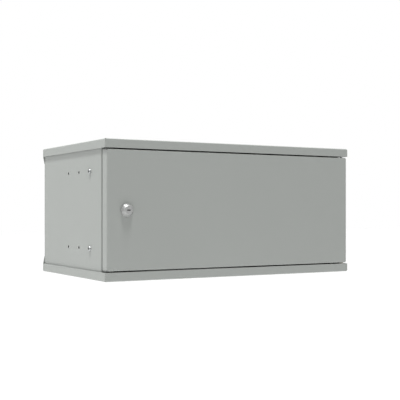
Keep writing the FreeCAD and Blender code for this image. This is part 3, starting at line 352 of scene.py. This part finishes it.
def runs(low, high, index, sense=None):
    """Where a rod starts, its axis and its length, from its box: weld studs and screws all
    point at the middle of the cabinet unless a sense is given."""
    start = (low + high) / 2
    if sense is None:
        sense = 1 if start[index] < CABINET_MIDDLE[index] else -1
    start[index] = low[index] if sense > 0 else high[index]
    return start, (index, sense), (high - low)[index]


STUDS = {"cover_studs": (2, "cabinet"), "back_panel_studs": (1, "cabinet"),
         "entry_plate_studs": (2, "cabinet"), "earth_stud": (2, "cabinet"),
         "door_earth_stud": (1, "door")}

for node, (index, body) in STUDS.items():
    rods = []
    for low, high in islands(node):
        start, axis, length = runs(low, high, index)
        radius = (high - low)[(index + 1) % 3] / 2
        rod = thread(radius, COARSE_PITCH[round(radius * 2000)], 0.0, length)
        rods.append(placed(capped(rod), start, axis))
    woven(f"{node}_threaded", rods, bright_zinc, body, [node])


# --- Hexagon nuts -----------------------------------------------------------------------------
# Plain zinc-plated M4 and M6 nuts, cold forged from hexagon bar. A 30 degree cone takes the
# corners off both faces, which leaves a round bearing circle and curved edges on the flats.

# The bearing circle's radius as a share of the flats, and the bore's mouth of the bore.
BEARING_SHARE = 0.475
THROAT_FLARE = 1.12
CHAMFER = math.radians(30)


def hexagon(turn, flats, corner_turn=0.0):
    """Distance from the axis to a hexagon's side: half the flats over the cosine of the
    angle from the nearest flat's middle."""
    sixth = np.pi / 3
    return flats / 2 / np.cos((turn - corner_turn) % sixth - sixth / 2)


def nut_grid(flats, height, bore, corner_turn):
    """A nut about z = 0: bore, bearing circle, then flats whose ends drop by the tangent of
    30 degrees times how far the corner stands beyond the circle."""
    around = 72
    turn = np.linspace(0, 2 * np.pi, around, endpoint=False) + corner_turn
    side = hexagon(turn, flats, corner_turn)
    circle = np.full_like(turn, BEARING_SHARE * flats)
    drop = (side - circle) * math.tan(CHAMFER)
    top = np.full_like(turn, height / 2)
    throat = np.full_like(turn, bore / 2)
    flare = np.full_like(turn, bore / 2 * THROAT_FLARE)
    sink = top - (flare - throat)
    reach = np.stack([throat, flare, circle, side, side, circle, flare, throat])
    level = np.stack([sink, top, top, top - drop, drop - top, -top, -top, -sink])
    return np.stack([reach * np.cos(turn), reach * np.sin(turn), level], axis=-1)


NUTS = {"cover_nuts": (2, "cabinet"), "back_panel_nuts": (1, "cabinet"),
        "entry_plate_nuts": (2, "cabinet"), "rail_nuts": (0, "cabinet"),
        "hinge_nuts": (1, "cabinet"), "earth_nut": (2, "cabinet"), "door_earth_nut": (1, "door")}
# Bore by width across flats in millimetres.
NUT_BORES = {7: 0.0042, 10: 0.0062}

for node, (index, body) in NUTS.items():
    nuts = []
    for low, high in islands(node):
        size = high - low
        across = size[(index + 1) % 3], size[(index + 2) % 3]
        corner_turn = 0.0 if across[0] > across[1] else math.pi / 6
        nut = nut_grid(min(across), size[index], NUT_BORES[round(min(across) * 1000)], corner_turn)
        nuts.append(placed(nut, (low + high) / 2, (index, 1)))
    woven(f"{node}_chamfered", nuts, bright_zinc, body, [node], closed_rows=True)


# --- Button-head and pan-head screws --------------------------------------------------------
# The rails hang on four M6 button-head screws through the side panels, and the hinges and the
# cam on M4 screws: forged heads with a hexagon socket, zinc plated, threads rolled.

# The flat crown's radius as a share of the socket's flats, and the rim, the dome above it and
# the socket's depth as shares of the head's height.
CROWN_SHARE = 0.66
RIM_SHARE = 0.12
DOME_SHARE = 0.88
SOCKET_DEPTH_SHARE = 0.6


def screw_grid(head_radius, head_height, socket_flats, socket_depth, radius, pitch, length):
    """A screw from its socket floor out over the domed head, under it, and down a threaded
    shank to its tip. The dome is a quarter ellipse: height = head * cosine, radius grows
    from the socket's corner to the rim by the sine."""
    around, dome_rows = 48, 9
    turn = np.linspace(0, 2 * np.pi, around, endpoint=False)
    flat = 0 * turn
    socket = hexagon(turn, socket_flats)
    crown = socket_flats * CROWN_SHARE
    swing = np.linspace(0, np.pi / 2, dome_rows)[:, None]
    dome_reach = crown + (head_radius - crown) * np.sin(swing) + flat
    dome_level = head_height * (RIM_SHARE + DOME_SHARE * np.cos(swing)) + flat
    floor_level = flat + head_height - socket_depth
    reach = np.stack([flat, socket, socket, *dome_reach, flat + head_radius, flat + radius])
    level = np.stack([floor_level, floor_level, flat + head_height, *dome_level, flat, flat])
    head = np.stack([reach * np.cos(turn), reach * np.sin(turn), level], axis=-1)
    shank = thread(radius, pitch, -length, 0.0)[::-1]
    shank = np.concatenate([shank, shank[-1:] * (0, 0, 1)])
    return head, shank


def screws(node, index, body, sense, head_height, socket_flats, radius):
    """Screws at a CAD node's places, their heads at the outer ends of its boxes."""
    grids = []
    for low, high in islands(node):
        start, (_, inward), length = runs(low, high, index, sense)
        start[index] += inward * head_height
        head_radius = (high - low)[(index + 1) % 3] / 2
        pitch = COARSE_PITCH[round(radius * 2000)]
        head, shank = screw_grid(head_radius, head_height, socket_flats,
                                 SOCKET_DEPTH_SHARE * head_height, radius, pitch,
                                 length - head_height)
        grids.append(placed(head, start, (index, -inward)))
        grids.append(placed(shank, start, (index, -inward)))
    woven(f"{node}_with_sockets", grids, bright_zinc, body, [node])


screws("rail_bolts", 0, "cabinet", None, head_height=0.0033, socket_flats=0.004, radius=0.003)
screws("hinge_screws", 1, "cabinet", None, head_height=0.0024, socket_flats=0.0025, radius=0.002)
screws("cam_screw", 1, "lock_barrel", -1, head_height=0.0025, socket_flats=0.004, radius=0.002)


# --- Latch spring -----------------------------------------------------------------------------
# Music wire coiled into a compression spring with closed, ground ends. It pushes the upper
# hinge pin up into its bracket and shortens when the pin's handle is drawn down.

SPRING_WIRE = 0.0008
SPRING_TURNS = 7


def oiled_spring_wire(name, colour, roughness):
    """Drawn, oil-tempered wire: dark grey metal, fairly smooth."""
    material, tree, shader = new_material(name)
    shader.inputs["Base Color"].default_value = linear(colour)
    shader.inputs["Metallic"].default_value = 1.0
    shader.inputs["Roughness"].default_value = roughness
    return material


def coil(radius, wire, low, high, turns):
    """A wire's surface: its middle climbs by 0.8 of a wire over the first and last turn and
    evenly between, and the ends are ground flat at the spring's height."""
    rows_per_turn, around, closed_climb = 40, 14, 0.8
    along = np.linspace(0, 1, rows_per_turn * turns + 1)[:, None]
    round_wire = np.linspace(0, 2 * np.pi, around, endpoint=False)[None]
    angle = along * turns * 2 * np.pi
    step = closed_climb * wire / (high - low)
    climb = np.interp(along, [0, 1 / turns, 1 - 1 / turns, 1], [0, step, 1 - step, 1])
    middle = low + climb * (high - low)
    reach = radius + wire / 2 * np.cos(round_wire)
    level = np.clip(middle + wire / 2 * np.sin(round_wire), low, high)
    skin = np.stack([reach * np.cos(angle), reach * np.sin(angle), level], axis=-1)
    return np.concatenate([skin[:1].mean(axis=1, keepdims=True) + 0 * skin[:1], skin,
                           skin[-1:].mean(axis=1, keepdims=True) + 0 * skin[-1:]])


spring_low, spring_high = (np.array(corner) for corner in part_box("hinge_spring"))
spring_steel = oiled_spring_wire("oil_tempered_spring_wire", "#77797C", 0.32)
dress(spring_steel, "hinge_pin_clip")
spring_axis = (spring_low + spring_high) / 2 * (1, 1, 0)
spring_radius = (spring_high - spring_low)[0] / 2 - SPRING_WIRE / 2
spring = woven("hinge_spring_wound",
               [coil(spring_radius, SPRING_WIRE, spring_low[2], spring_high[2], SPRING_TURNS)
                + spring_axis],
               spring_steel, "hinge_latch", ["hinge_spring"])
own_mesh(spring)


# --- Cam lock ---------------------------------------------------------------------------------
# A die-cast zinc cam lock with a rounded rim, satin chromed. Its barrel turns in the rim, and
# a keyway is cut across the barrel's face.

def satin_chrome(name, colour):
    """Chrome over a fine-blasted casting: half of its light scatters as from a matt coat."""
    blast_width, blast_depth, blast_strength = 0.0006, 0.0001, 0.1
    mirror_share, roughness = 0.5, 0.36
    material, tree, shader = new_material(name)
    place = add(tree, "ShaderNodeTexCoord").outputs["Object"]
    blast = add(tree, "ShaderNodeTexNoise", [("Scale", 1 / blast_width), ("Detail", 1.0)],
                [("Vector", place)])
    bump = add(tree, "ShaderNodeBump", [("Strength", blast_strength), ("Distance", blast_depth)],
               [("Height", blast.outputs["Fac"])])
    tree.links.new(bump.outputs["Normal"], shader.inputs["Normal"])
    shader.inputs["Base Color"].default_value = linear(colour)
    shader.inputs["Metallic"].default_value = mirror_share
    shader.inputs["Roughness"].default_value = roughness
    return material


satin_chromed_zinc = satin_chrome("satin_chromed_zinc", "#8F908F")
dress(satin_chromed_zinc, "lock_housing", "lock_plug")


# --- Hinge washer and door buffers ------------------------------------------------------------
# A natural nylon washer carries the door on its lower pin, and two black rubber buffers take
# up the door's free edge.

def moulded(name, colour, roughness):
    """An even moulded plastic or rubber."""
    material, tree, shader = new_material(name)
    shader.inputs["Base Color"].default_value = linear(colour)
    shader.inputs["Roughness"].default_value = roughness
    return material


dress(moulded("natural_nylon", "#E3E0D4", 0.45), "hinge_washer")
dress(moulded("black_rubber", "#262626", 0.75), "door_bumpers")
